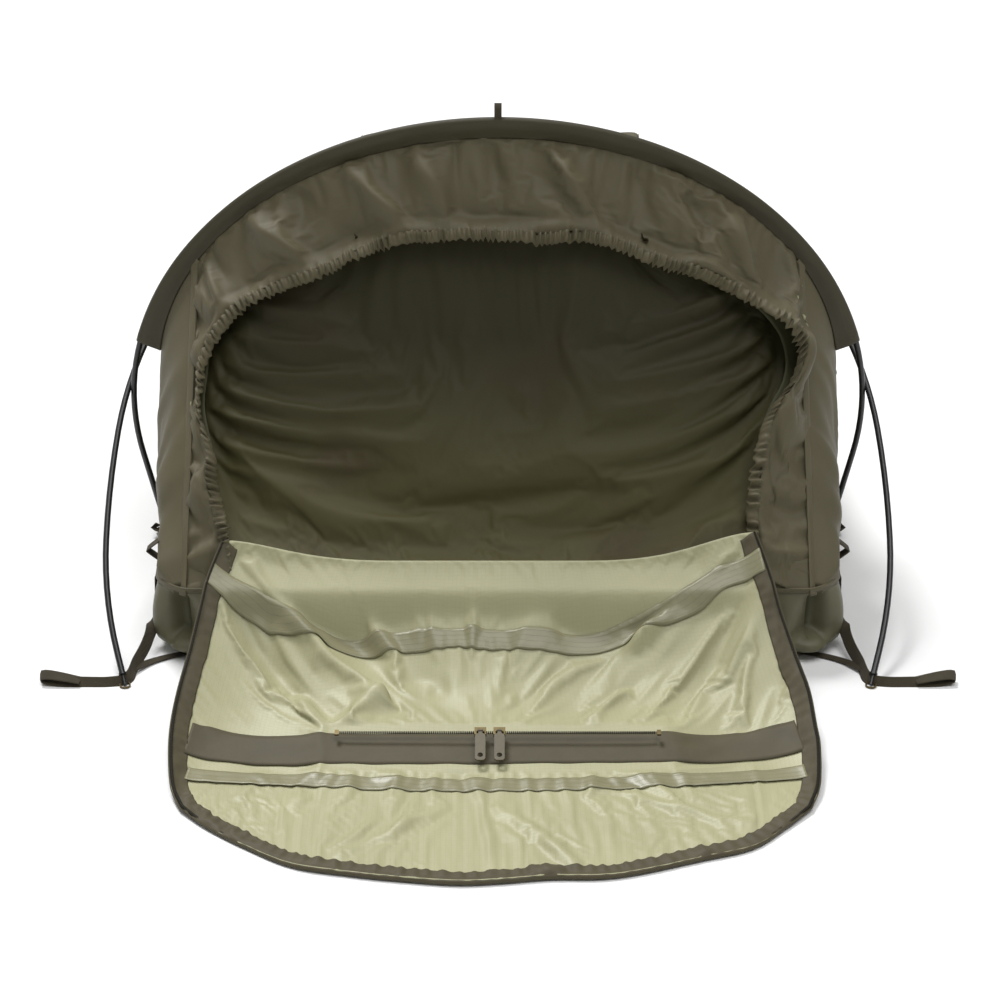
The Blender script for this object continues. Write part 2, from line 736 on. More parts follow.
# ---- visor --------------------------------------------------------------------------------
VISOR_FOLDS = [
    # from x, height to x, height, then how far the fold stands out and its width
    ((0.064, 0.625), (0.140, 0.535), 0.012, 0.014),
    ((0.220, 0.595), (0.301, 0.552), 0.013, 0.013),
    ((0.301, 0.552), (0.362, 0.440), 0.012, 0.014),
    ((0.180, 0.605), (0.200, 0.555), -0.007, 0.016),
    ((0.258, 0.570), (0.285, 0.530), -0.006, 0.013),
    ((-0.020, 0.628), (0.010, 0.580), -0.007, 0.016),
    ((-0.120, 0.622), (-0.060, 0.548), 0.008, 0.018),
    ((-0.210, 0.600), (-0.130, 0.535), 0.009, 0.015),
    ((-0.300, 0.565), (-0.230, 0.545), -0.005, 0.015),
    ((-0.345, 0.520), (-0.250, 0.485), 0.009, 0.014),
    ((-0.405, 0.470), (-0.372, 0.420), 0.006, 0.012),
    ((0.390, 0.300), (0.400, 0.180), 0.005, 0.010),
    ((0.372, 0.250), (0.378, 0.160), -0.004, 0.008),
    ((0.400, 0.480), (0.408, 0.420), 0.006, 0.010),
]


def make_visor():
    """Slack storm visor from the front sleeve to the gathered hem round the doorway."""
    m, n = 210, 34
    rim = spline(RIM, m)
    top_angle = math.acos(SEAM_X / section(HOOD_Y)[0])
    half, turn, crown = section(HOOD_Y)
    angles = np.linspace(math.pi - top_angle, top_angle, 60)
    arch = np.stack([half * np.cos(angles), turn + (crown - turn) * np.sin(angles)], 1)
    foot = 0.098
    rise = np.linspace(foot, arch[0, 1], 22)[:-1]
    left = np.stack([np.full(len(rise), -SEAM_X), rise], 1)
    right = np.stack([np.full(len(rise), SEAM_X), rise[::-1]], 1)
    outer = spline(np.concatenate([left, arch, right]), m)
    t = np.linspace(0, 1, n)[None, :, None]
    flat = rim[:, None] * (1 - t) + outer[:, None] * t
    grid = facade(flat[..., 0], flat[..., 1])
    out = normals(grid)
    out *= np.sign(-out[..., 1:2])
    t = t[..., 0]
    x, z = grid[..., 0], grid[..., 2]
    swell = 0.010 * np.sin(math.pi * t)
    pouch = 0.034 * np.exp(-((x - 0.385) / 0.050) ** 2 - ((z - 0.372) / 0.060) ** 2)
    pouch *= 1 - smooth((t - 0.5) / 0.5)
    lip = 0.012 * (1 - smooth(t / 0.25))
    folds = 0.0075 * rough(x, z, 0.11, 3) * np.sin(math.pi * t) ** 0.5
    grid = grid + out * (swell + pouch + lip + folds)[..., None]
    for a, b, height, width in VISOR_FOLDS:
        away, share = segment_distance(x, z, a, b)
        swell = np.sin(math.pi * (0.12 + 0.76 * share))
        grid = grid + out * (1.75 * height * np.exp(-(away / width) ** 2) * swell
                             * smooth(6 * t) * smooth(9 * (1 - t)))[..., None]
    rim_out = evened(out[:, 0])
    rim_away = evened(grid[:, 2] - grid[:, 0])
    pins = np.zeros((m, n))
    pins[:, 0] = pins[:, -1] = 1.0
    pins[:, 1] = 0.5
    pins[0] = pins[-1] = 1.0
    gather = (1 - smooth(t / 0.55)) * np.ones((m, 1))
    grid = settle(grid, pins, 0.045, frames=26, pull=(0, -2.5, -4.0), bend=0.30,
                  more=(gather, 0.16))
    calm = (1 - smooth(t / 0.30))[..., None]
    for _ in range(6):
        mean = (grid[:-2, 1:-1] + grid[2:, 1:-1] + grid[1:-1, :-2] + grid[1:-1, 2:]) / 4
        grid[1:-1, 1:-1] += (mean - grid[1:-1, 1:-1]) * calm[:, 1:-1]
    grid = refine(grid, 2)
    m, n = grid.shape[:2]
    out = normals(grid)
    out *= np.sign(-out[m // 2, n // 2, 1])
    edge = distance_along(grid[:, 0])
    t = np.linspace(0, 1, n)[None]
    grid = grid + out * (pucker(edge)[:, None] * np.exp(-t / 0.07)
                         + 0.5 * pucker(edge, 0.019, 8)[:, None] * np.exp(-t / 0.18))[..., None]
    obj = cloth_piece("storm_visor_cloth", grid, [OLIVE, LINING],
                      thick=0.0009, flip=True)
    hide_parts("storm_visor")
    hem = make_hem(grid[:, 0], edge, refine_line(rim_out, m), refine_line(rim_away, m))
    for side, part in ((-1, grid[:m // 3, -1]), (1, grid[-(m // 3):, -1])):
        line = part[np.abs(part[:, 0]) > SEAM_X - 0.006]
        line = line + (0.0015 * side, -0.0010, 0)
        away = np.tile((0.55 * side, -0.83, 0.0), (len(line), 1))
        ribbon("visor_seam_" + ("right" if side > 0 else "left"), line, 0.013, away, lift=0.0010)


def pucker(edge, spacing=0.0085, seed=4):
    """Height of the gathers along the elastic, irregular in pitch and depth."""
    drift = edge + 0.006 * wander(edge, 0.030, seed + 1)
    depth = 0.0016 * (1 + 0.55 * wander(edge, 0.024, seed + 2))
    return depth * (np.sin(math.tau * drift / spacing) + 0.6 * wander(edge, spacing * 0.6, seed))


def evened(vectors, times=24):
    """Unit vectors along a line, smoothed."""
    v = unit(vectors)
    for _ in range(times):
        v[1:-1] = (v[:-2] + v[1:-1] + v[2:]) / 3
    return unit(v)


def refine_line(vectors, count):
    """count unit vectors spread evenly over the given ones."""
    at = np.linspace(0, 1, len(vectors))
    return evened(along_line(np.linspace(0, 1, count), at, vectors), 2)


def make_hem(line, edge, normal, inward):
    """Tunnel with elastic inside, gathered in small bunches."""
    width, thick = 0.0165, 0.0046
    rows = []
    for k in range(20):
        angle = math.tau * k / 20
        across = -width / 2 * (math.cos(angle) + 1) + 0.0015
        up = thick * math.sin(angle)
        bunch = pucker(edge) * (1.25 + 0.5 * math.sin(angle))
        fine = 0.0007 * wander(edge, 0.0032, 40 + k // 3)
        swing = 0.0012 * wander(edge, 0.011, 77)
        point = line + inward * (across + swing + 0.6 * bunch)[:, None]
        rows.append(point + normal * (up + bunch + fine)[:, None])
    rows.append(rows[0])
    grid = np.stack(rows, 1)
    grid = upsample(grid, 2)
    obj = cloth_piece("visor_elastic_hem", grid, [OLIVE], thick=0, flip=False)
    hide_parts("visor_elastic")
    return obj


# ---- sides, roof and foot -----------------------------------------------------------------
def upper_section(y, count):
    """Section of the upper fabric at y, from the left seam over the crown to the right seam."""
    half, turn = (float(v) for v in section(y)[:2])
    low = float(seam_height(y)) - 0.008
    wall = np.linspace(low, max(turn, low + 0.002), 14)[:-1]
    angles = np.linspace(math.pi, 0, 90)
    left = np.stack([np.full(len(wall), -half), np.full(len(wall), y), wall], 1)
    over = arch_point(y, angles)
    right = left[::-1] * (-1, 1, 1)
    return spline(np.concatenate([left, over, right]), count)


def make_upper():
    """Sides, roof and foot canopy as one cut of cloth, parted at its seams afterwards."""
    m, n = 150, 121
    ys = HOOD_Y + (TAIL_Y - HOOD_Y) * np.linspace(0, 1, m)
    grid = np.stack([upper_section(y, n) for y in ys])
    out = normals(grid)
    out *= np.sign(out[m // 2, n // 2, 2])
    y = grid[..., 1]
    rear = smooth((y - REAR_ARCH_Y) / 0.35)
    swell = (0.002 + 0.006 * rear) * rough(y, grid[..., 0], 0.22, 11)
    grid = grid + out * swell[..., None]
    pins = np.zeros((m, n))
    pins[0] = pins[-1] = 1.0
    pins[:, 0] = pins[:, -1] = 1.0
    arch = rear_line(grid)
    pins = np.maximum(pins, np.exp(-(arch / 0.008) ** 2) > 0.4)
    grid = settle(grid, pins, 0.006, frames=18, pull=(0, 0, -0.6), bend=0.5, more=(rear, 0.022))
    grid = refine(grid, 2)
    m, n = grid.shape[:2]
    arch = rear_line(grid)
    centre = (grid[:-1, :-1] + grid[1:, 1:]) / 2
    behind = rear_line(centre) > 0
    column = np.linspace(0, 1, n - 1)[None] * np.ones((m - 1, 1))
    low_side = centre[..., 2] < wall_line(centre[..., 1])
    low_side &= np.abs(column - 0.5) > 0.29
    kinds = {
        "side_panel_left": low_side & (column < 0.5),
        "side_panel_right": low_side & (column > 0.5),
        "hood_roof": ~low_side & ~behind,
        "foot_canopy": ~low_side & behind,
    }
    uv = arc_uv(grid)
    for node, chosen in kinds.items():
        piece_of(node, grid, uv, chosen)
    seams(grid)


def rear_line(grid):
    """Signed distance behind the rear hoop's seam, roughly along Y."""
    height = np.interp(np.abs(grid[..., 0]), rear_seat[90:, 0], rear_seat[90:, 1])
    return grid[..., 1] - height


def wall_line(y):
    """Height of the seam between side panels and roof."""
    return np.interp(y, STATIONS[:, 0], STATIONS[:, 2]) + 0.002


def piece_of(node, grid, uv, chosen):
    """The chosen faces of the upper cloth as one panel, with the part that it adds at an end."""
    n = grid.shape[1]
    rows, columns = np.nonzero(chosen)
    quads = np.stack([rows * n + columns, rows * n + columns + 1, (rows + 1) * n + columns + 1,
                      (rows + 1) * n + columns], 1)
    used, index = np.unique(quads, return_inverse=True)
    points, coords = grid.reshape(-1, 3)[used], uv.reshape(-1, 2)[used]
    faces = index.reshape(-1, 4).tolist()
    right = "right" in node
    if node != "hood_roof":
        end = tail_wall(grid[-1]) if node == "foot_canopy" else front_corner(1 if right else -1)
        more = grid_faces(*end.shape[:2], start=len(points))
        faces += [face[::-1] if right else face for face in more]
        points = np.concatenate([points, end.reshape(-1, 3)])
        coords = np.concatenate([coords, arc_uv(end).reshape(-1, 2)])
    obj = mesh_object(node + "_cloth", points, faces, coords)
    finish_sheet(obj, [OLIVE, LINING], 0.0008)
    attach(obj, "shell")
    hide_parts(node)


def tail_wall(edge):
    """Low upright end of the foot section, down to the groundsheet's seam."""
    low = float(seam_height(TAIL_Y)) - 0.004
    rows = []
    for share in np.linspace(0, 1, 7):
        row = edge.copy()
        row[:, 1] += 0.006 * math.sin(math.pi * share) + 0.003 * share
        row[:, 2] = edge[:, 2] + (np.minimum(low, edge[:, 2]) - edge[:, 2]) * share
        rows.append(row)
    return np.stack(rows)


def front_corner(side):
    """Side panel ahead of the front hoop, from its wall round to the facade's seam."""
    ys = np.linspace(FRONT_Y + 0.006, HOOD_Y, 60)
    rows = []
    for y in ys:
        half, turn = (float(v) for v in section(y)[:2])
        stop = math.acos(min(0.999, (SEAM_X - 0.004) / half))
        wall = np.linspace(0.098, max(turn, 0.107), 12)[:-1]
        angles = np.linspace(0, stop, 24)
        a = np.stack([np.full(len(wall), half), np.full(len(wall), y), wall], 1)
        rows.append(spline(np.concatenate([a, arch_point(y, angles)]), 44))
    grid = np.stack(rows)
    out = normals(grid)
    out *= np.sign(out[30, 5, 0])
    u = np.linspace(0, 1, 60)[:, None]
    v = np.linspace(0, 1, 44)[None]
    edge = np.sin(math.pi * u) * np.sin(math.pi * v) ** 0.5
    folds = np.sin(grid[..., 1] * 62 + 3 * rough(grid[..., 2], u + 0 * v, 0.3, 21 + side))
    dents = rough(grid[..., 1], grid[..., 2], 0.09, 31 + side)
    grid = grid + out * (edge * (0.0035 * folds + 0.003 * dents))[..., None]
    return grid * (side, 1, 1)


def seams(grid):
    """Raised seams where two panels meet."""
    lines = []
    m, n = grid.shape[:2]
    for side in (0, 1):
        line = []
        for i in range(0, m, 2):
            row = grid[i]
            half_row = row[: n // 5] if side == 0 else row[-(n // 5):][::-1]
            k = int(np.argmin(np.abs(half_row[:, 2] - wall_line(half_row[0, 1]))))
            line.append(half_row[k])
        lines.append(np.array(line))
    for number, line in enumerate(lines):
        ribbon("side_seam_" + ("left", "right")[number], line, 0.008, grid_normal(line))


def grid_normal(line):
    """Outward directions for a line that runs along the sack."""
    out = np.stack([np.sign(line[:, 0]), np.zeros(len(line)), np.full(len(line), 0.25)], 1)
    return unit(out)


def ribbon(name, line, width, out, lift=0.0006):
    """Felled seam: a slightly domed strip along a line."""
    across = unit(np.cross(unit(np.gradient(line, axis=0)), out))
    rows = []
    for k in range(7):
        share = k / 3 - 1
        rows.append(line + across * (share * width / 2) + out * (lift * (1 - share ** 4) + 0.0002))
    return cloth_piece(name, np.stack(rows, 1), [OLIVE], thick=0.0006)


# ---- groundsheet --------------------------------------------------------------------------
def tub_outline():
    """Right half of the tub's plan, from the front middle to the tail's middle."""
    corner = 0.045
    ys = np.linspace(FRONT_Y + corner, TAIL_Y - 0.04, 80)
    half = section(ys)[0]
    points = [(x, FRONT_Y) for x in np.linspace(0, half[0] - corner, 24)]
    for a in np.linspace(0, math.pi / 2, 14)[1:-1]:
        across, along = math.sin(a) ** 1.4, math.cos(a) ** 1.4
        points.append((half[0] - corner + corner * across, FRONT_Y + corner - corner * along))
    points += list(zip(half, ys))
    tail = 0.04
    for a in np.linspace(0, math.pi / 2, 12)[1:-1]:
        points.append((half[-1] - tail + tail * math.cos(a), TAIL_Y - tail + tail * math.sin(a)))
    points += [(x, TAIL_Y) for x in np.linspace(half[-1] - tail, 0, 20)]
    return np.array(points)


def make_tub():
    """Bathtub groundsheet: floor and raised walls with folded corners."""
    right = spline(tub_outline(), 1200)
    near = np.hypot(right[:, 0] - 0.44, right[:, 1] - FRONT_Y - 0.02)
    weight = np.cumsum(1 + 6 * np.exp(-(near / 0.07) ** 2))
    pick = np.interp(np.linspace(weight[0], weight[-1], 420), weight, np.arange(1200))
    right = along_line(pick, np.arange(1200), right)
    plan = np.concatenate([right, right[-2:0:-1] * (-1, 1)])
    m = len(plan)
    tangent = np.roll(plan, -1, 0) - np.roll(plan, 1, 0)
    outward = unit(np.stack([tangent[:, 1], -tangent[:, 0]], 1))
    top = seam_height(plan[:, 1])
    run = distance_along(plan)
    rows = []
    n = 30
    for k in range(n):
        h = k / (n - 1)
        foot = 0.016 * (1 - smooth(h / 0.22))
        belly = 0.006 * math.sin(math.pi * min(1, h * 1.1)) ** 0.8
        wave = 0.0030 * wander(run, 0.07, 51) * math.sin(math.pi * h)
        wave = wave + 0.0014 * wander(run, 0.022, 52) * math.sin(math.pi * h)
        reach = belly - foot + wave + corner_fold(plan, h)
        z = 0.0008 + (top - 0.0008) * (h ** 1.08)
        rows.append(np.column_stack([plan + outward * reach[:, None], z]))
    crown = rows[-1]
    rows.append(crown - np.stack([outward[:, 0], outward[:, 1], np.full(m, 0.05)], 1) * 0.022)
    floor = []
    for share in (0.0, 0.35, 0.7, 0.93):
        base = rows[0]
        centre_y = (FRONT_Y + TAIL_Y) / 2
        pinch = np.stack([base[:, 0] * share, centre_y + (base[:, 1] - centre_y) * share,
                          np.full(m, 0.0009)], 1)
        floor.append(pinch)
    grid = np.stack(floor + rows, 1)
    grid = np.concatenate([grid, grid[:1]])
    obj = cloth_piece("groundsheet_cloth", grid, [TUB], thick=0.0007,
                      flip=True)
    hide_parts("groundsheet_tub")
    line = np.concatenate([crown, crown[:1]])
    flat_out = np.concatenate([outward, outward[:1]])
    out = np.stack([flat_out[:, 0], flat_out[:, 1], np.zeros(m + 1)], 1)
    seam = ribbon("tub_seam_binding", line + out * 0.001, 0.009, out, lift=0.0012)
    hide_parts("tub_seam_tape")


def corner_fold(plan, h):
    """Origami folds of the tub's front corners: a pit beside the corner under pulled ridges."""
    depth = np.zeros(len(plan))
    for side in (1, -1):
        corner_x, corner_y = 0.440, FRONT_Y + 0.014
        away = np.hypot(plan[:, 0] - side * corner_x, plan[:, 1] - corner_y)
        signed = away * np.sign(side * plan[:, 0] - corner_x + plan[:, 1] - corner_y)
        reach = 0.010 + 0.016 * (1 - h)
        pit = -0.036 * np.exp(-((signed + 0.016 + 0.006 * (1 - h)) / reach) ** 2)
        pit = pit * smooth((h - 0.26) / 0.16) * (1 - smooth((h - 0.80) / 0.2))
        crease = -0.008 * np.exp(-((signed + 0.003) / 0.006) ** 2) * smooth((h - 0.1) / 0.3)
        crease = crease * (1 - smooth((h - 0.85) / 0.15))
        ridge = 0.007 * np.exp(-((signed - 0.024) / 0.014) ** 2) * math.sin(math.pi * h)
        ridge = ridge + 0.006 * np.exp(-((signed + 0.052) / 0.014) ** 2) * math.sin(math.pi * h)
        belly = 0.010 * np.exp(-((signed + 0.016) / 0.022) ** 2)
        belly = belly * math.exp(-((h - 0.17) / 0.12) ** 2)
        depth += pit + crease + ridge + belly
    return depth


# ---- door ---------------------------------------------------------------------------------
def ramp(y):
    """Height of the door's underside at y."""
    rise = np.clip((y - (HINGE.y - DOOR_RAMP)) / DOOR_RAMP, 0, 1.08)
    return (SILL_Z - 0.001) * rise ** 2


DOOR_CREASES = [
    # from x, y to x, y (y from the feet), height, width: ridges that drape from the corners
    ((-0.355, 0.080), (-0.150, -0.090), 0.016, 0.020),
    ((-0.345, 0.030), (-0.215, -0.110), -0.012, 0.022),
    ((-0.300, 0.070), (-0.080, -0.060), -0.012, 0.022),
    ((-0.150, -0.090), (-0.205, -0.150), 0.010, 0.013),
    ((-0.250, -0.080), (-0.230, -0.150), 0.008, 0.012),
    ((0.330, 0.090), (0.190, -0.010), 0.018, 0.018),
    ((0.190, -0.010), (0.020, -0.090), 0.015, 0.022),
    ((0.300, 0.060), (0.090, 0.030), -0.012, 0.024),
    ((0.320, 0.030), (0.230, -0.110), -0.010, 0.020),
    ((0.345, 0.020), (0.310, -0.120), 0.010, 0.022),
    ((0.160, -0.080), (0.120, -0.130), 0.010, 0.014),
    ((-0.300, -0.260), (-0.120, -0.330), 0.006, 0.020),
    ((0.000, -0.300), (0.090, -0.410), 0.007, 0.016),
    ((0.120, -0.260), (0.300, -0.330), 0.008, 0.018),
    ((-0.180, -0.390), (-0.060, -0.300), 0.006, 0.014),
]


def segment_distance(x, y, a, b):
    """Distance from a segment, and how far along it, for each point."""
    d = np.array(b) - np.array(a)
    share = np.clip(((x - a[0]) * d[0] + (y - a[1]) * d[1]) / (d @ d), 0, 1)
    return np.hypot(x - a[0] - share * d[0], y - a[1] - share * d[1]), share


def on_floor(points):
    """Heights kept above the ground and, rounded off, above the sill next to the fold."""
    y, z = points[..., 1], points[..., 2]
    near = smooth((y - (HINGE.y - 0.09)) / 0.06)
    low = 0.0020 + ramp(y) * near
    over = z - low
    return low + (over + np.sqrt(over ** 2 + (0.008 * near) ** 2)) / 2


def door_surface():
    """The door's upper face, settled on the ground, as a grid from left to right and down."""
    m, n = 141, 97

    def lifted(points, count):
        flat = spline(points, count)
        return np.stack([flat[:, 0], flat[:, 1] + FEET_Y, np.zeros(count)], 1)

    left, right = lifted(DOOR_LEFT, n), lifted(DOOR_RIGHT, n)
    bottom = lifted(DOOR_BOTTOM, m)
    left[:, 2] += 0.016 * (1 - smooth(np.linspace(0, 1, n) / 0.22))
    right[:, 2] += 0.022 * (1 - smooth(np.linspace(0, 1, n) / 0.25))
    u = np.linspace(0, 1, m)
    sag = 4 * u * (1 - u)
    top = left[0] * (1 - u)[:, None] + right[0] * u[:, None]
    top[:, 1] += (HINGE.y + 0.003 - top[:, 1]) * smooth(sag * 1.15)
    top[:, 2] *= 1 - smooth(sag * 1.15)
    grid = coons(top, bottom, left, right)
    grid[..., 2] += ramp(grid[..., 1]) + 0.0020
    x, y = grid[..., 0], grid[..., 1] - FEET_Y
    inner = smooth(u * 9) * smooth((1 - u) * 9)
    v = np.linspace(0, 1, n)
    deep = smooth(v * 14) * smooth((1 - v) * 10)
    hold = inner[:, None] * deep[None]
    lift = np.zeros((m, n))
    for a, b, height, width in DOOR_CREASES:
        away, share = segment_distance(x, y, a, b)
        swell = 0.35 + 0.65 * np.sin(math.pi * (0.15 + 0.7 * share))
        lift += 1.55 * height * np.exp(-(away / width) ** 2) * swell
    lift += 0.0035 * rough(x, y, 0.16, 61) + 0.0018 * rough(x, y, 0.07, 62)
    coil = smooth((0.052 - np.abs(grid[..., 1] - (VENT_Y + 0.004))) / 0.014)
    coil = coil * smooth((VENT_HALF + 0.040 - np.abs(x)) / 0.030)
    lift *= hold * (1 - coil)
    grid[..., 2] += lift
    grid[..., 2] = on_floor(grid)
    pins = np.zeros((m, n))
    pins[:, 0] = pins[:, -1] = 1.0
    pins[0] = pins[-1] = 1.0
    pins[coil > 0.5] = 1.0
    settled = settle(grid, pins, 0.022, frames=22, pull=(0, 0, -3.0), bend=0.5, floor=True)
    settled[..., 2] = on_floor(settled)
    return settled


class Sheet:
    """A settled grid with its upward normals, for strips to lie on."""

    def __init__(self, grid):
        self.grid = grid
        self.normal = normals(grid)
        if self.normal[..., 2].mean() < 0:
            self.normal = -self.normal


def door_blend(obj):
    """Fabric turns smoothly over the sill when the door closes."""
    obj.parent = None
    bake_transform(obj)


def perimeter(sheet, count):
    """Points round the door's free edge, evenly spaced, with their inward directions."""
    grid = sheet.grid
    line = spline(np.concatenate([grid[0], grid[1:-1, -1], grid[-1][::-1]]), count)
    along = unit(np.gradient(line, axis=0))
    inward = unit(np.stack([-along[:, 1], along[:, 0], np.zeros(count)], 1))
    for _ in range(30):
        inward[1:-1] = (inward[:-2] + inward[1:-1] + inward[2:]) / 3
    inward = unit(inward)
    return line, inward


def lay(sheet, points, lift):
    """Points dropped onto the sheet from above, then raised by lift."""
    x, y = points[..., 0], points[..., 1]
    z, normal = drop(sheet, x, y)
    return np.stack([x, y, z], -1) + normal * np.asarray(lift)[..., None]


def drop(sheet, x, y):
    """Height and normal of the sheet over x and y, from its nearest grid points."""
    flat, up = sheet.grid.reshape(-1, 3), sheet.normal.reshape(-1, 3)
    px, py = np.ravel(x), np.ravel(y)
    z, normal = np.zeros(len(px)), np.zeros((len(px), 3))
    for start in range(0, len(px), 400):
        part = slice(start, start + 400)
        d = (flat[None, :, 0] - px[part, None]) ** 2 + (flat[None, :, 1] - py[part, None]) ** 2
        near = np.argpartition(d, 12, axis=1)[:, :12]
        weight = 1 / (np.take_along_axis(d, near, 1) + 4e-6)
        weight /= weight.sum(1, keepdims=True)
        z[part] = (flat[near, 2] * weight).sum(1)
        normal[part] = (up[near] * weight[..., None]).sum(1)
    normal = unit(normal)
    return z.reshape(np.shape(x)), normal.reshape(np.shape(x) + (3,))


def make_door():
    """Door flap on the ground, with its band, zip coils, vent band and seam tapes."""
    sheet = Sheet(refine(door_surface(), 2))
    panel = cloth_piece("door_panel_cloth", sheet.grid, [LINING, OLIVE], body=None, thick=0.0008)
    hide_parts("door_panel")
    door_blend(panel)
    line, inward = perimeter(sheet, 620)
    run = distance_along(line)
    made = [door_band(sheet, line, inward, run)]
    made.append(door_coil(line, inward))
    made.append(vent_strip(sheet))
    made += door_tapes(sheet)
    vent_teeth()


def door_band(sheet, line, inward, run):
    """Perimeter tape, flat at its outer edge and puckered at its inner one."""
    width = 0.0235
    gather = 0.0012 * np.sin(math.tau * (run + 0.006 * wander(run, 0.05, 71)) / 0.017)
    gather += 0.0010 * wander(run, 0.012, 72)
    low = smooth((run - 0.35) / 0.2) * smooth((run[-1] - 0.35 - run) / 0.2)
    rows = []
    count = 13
    for k in range(count):
        share = k / (count - 1)
        edge = 0.0007 * wander(run, 0.014, 73) * (1 + low) * share
        reach = width * share + edge - 0.002
        points = line + inward * reach[:, None]
        height = 0.0012 + 0.0010 * math.sin(math.pi * share) + gather * share * (0.4 + 0.8 * low)
        on = lay(sheet, points, np.maximum(height, 0.0007))
        if share == 0:
            on = line - inward * 0.002 + (0, 0, 0.0004)
        rows.append(on)
    grid = np.stack(rows, 1)
    obj = cloth_piece("door_perimeter_band", grid, [BINDING], body=None,
                      thick=0.0007, flip=True)
    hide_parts("door_zip_tape")
    door_blend(obj)
    return obj


def coil_mesh(name, path, up, width, height, pitch, body, node):
    """A zip's coil: one rounded loop of filament for each tooth."""
    at = distance_along(path)
    count = int(at[-1] / pitch)
    want = (np.arange(count) + 0.5) * pitch
    centre = along_line(want, at, path)
    lift = unit(along_line(want, at, up))
    along = unit(np.gradient(centre, axis=0))
    across = np.cross(along, lift)
    ring = []
    for k in range(8):
        a = math.tau * k / 8
        ring.append((width / 2 * math.cos(a), height / 2 * (1 + math.sin(a))))
    half = pitch * 0.36
    points, faces = [], []
    for i in range(count):
        start = len(points)
        for end in (-half, half):
            for shrink in ((0.78, 1.0) if end < 0 else (1.0, 0.78)):
                push = end if shrink < 1 else end * 0.45
                for x, y in ring:
                    points.append(centre[i] + across[i] * (x * shrink) + along[i] * push
                                  + lift[i] * (height / 2 + (y - height / 2) * shrink))
        for layer in range(3):
            a, b = start + layer * 8, start + (layer + 1) * 8
            faces += [(a + k, a + (k + 1) % 8, b + (k + 1) % 8, b + k) for k in range(8)]
        faces.append(tuple(start + k for k in reversed(range(8))))
        faces.append(tuple(start + 24 + k for k in range(8)))
    obj = mesh_object(name, points, faces)
    obj.data.materials.append(COIL)
    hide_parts(node)
    if body:
        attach(obj, body)
    return obj


def door_coil(line, inward):
    """The door zip's coil along its free edge."""
    path = line + inward * 0.0022 + (0, 0, 0.0010)
    up = np.tile((0.0, 0.0, 1.0), (len(path), 1)) - inward * 0.4
    obj = coil_mesh("door_coil", path, up, 0.0048, COIL_H, 0.0026, None, "door_zip_coil")
    door_blend(obj)
    return obj


def strip_on(sheet, name, centre_line, half_width, material, node, lift, puckers, uneven):
    """A strip laid on the door along a line, as (x, y) points."""
    rows = 9
    line = spline(centre_line, 260)
    run = distance_along(line)
    along = unit(np.gradient(line, axis=0))
    across = np.stack([-along[:, 1], along[:, 0]], 1)
    grid = []
    for k in range(rows):
        share = 2 * k / (rows - 1) - 1
        ragged = uneven * wander(run, 0.03, 81 + (k == 0)) if abs(share) == 1 else 0 * run
        points = line + across * (share * half_width + ragged)[:, None]
        bulge = lift + puckers * (wander(run, 0.018, 83) + 1) * (1 - share ** 2)
        bulge = bulge + 0.0012 * smooth((np.abs(line[:, 0]) - VENT_HALF - 0.015) / 0.02)
        grid.append(lay(sheet, points, bulge))
    obj = cloth_piece(name, np.stack(grid, 1), [material], body=None, thick=0.0006,
                      flip=True)
    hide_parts(node)
    door_blend(obj)
    return obj


def vent_strip(sheet):
    """Taupe band across the door with the vent's zip along its upper edge."""
    line = [(-0.392, VENT_Y + 0.022), (-0.30, VENT_Y + 0.010), (-0.22, VENT_Y + 0.002),
            (-0.10, VENT_Y + 0.002), (0.0, VENT_Y + 0.003), (0.12, VENT_Y + 0.005),
            (0.21, VENT_Y + 0.006), (0.29, VENT_Y + 0.014), (0.382, VENT_Y + 0.028)]
    return strip_on(sheet, "vent_band_strip", line, VENT_BAND / 2 + 0.006, BINDING,
                    "vent_band", 0.0005, 0.0001, 0.0012)


def door_tapes(sheet):
    """Waterproof tapes over the two seams of the lining."""
    upper = [(-0.382, FEET_Y + 0.062), (-0.33, FEET_Y + 0.040), (-0.25, FEET_Y + 0.012),
             (-0.10, FEET_Y + 0.006), (0.06, FEET_Y + 0.006), (0.16, FEET_Y + 0.016),
             (0.24, FEET_Y + 0.034), (0.30, FEET_Y + 0.062), (0.352, FEET_Y + 0.074)]
    lower = [(-0.388, FEET_Y - 0.226), (-0.30, FEET_Y - 0.236), (-0.15, FEET_Y - 0.248),
             (0.0, FEET_Y - 0.252), (0.16, FEET_Y - 0.246), (0.28, FEET_Y - 0.234),
             (0.384, FEET_Y - 0.222)]
    return [strip_on(sheet, "door_tape_" + place, line, 0.0125, TAPE,
                     "door_seam_tape_" + place, 0.0016, 0.0002, 0.0008)
            for place, line in (("upper", upper), ("lower", lower))]


def vent_teeth():
    """The vent's coil, straight where the sliders run, under a dark edge of the band."""
    y = VENT_Y + 0.017
    x = np.linspace(-VENT_HALF, VENT_HALF, 200)
    z = ramp(np.full(200, y)) + 0.0020 + 0.0010
    path = np.stack([x, np.full(200, y), z], 1)
    slope = 2 * SILL_Z / DOOR_RAMP ** 2 * (y - (HINGE.y - DOOR_RAMP))
    up = np.tile((0.0, -slope, 1.0), (200, 1))
    coil_mesh("vent_coil", path, up, COIL_W, COIL_H, 0.0024, "door", "vent_zip_coil")


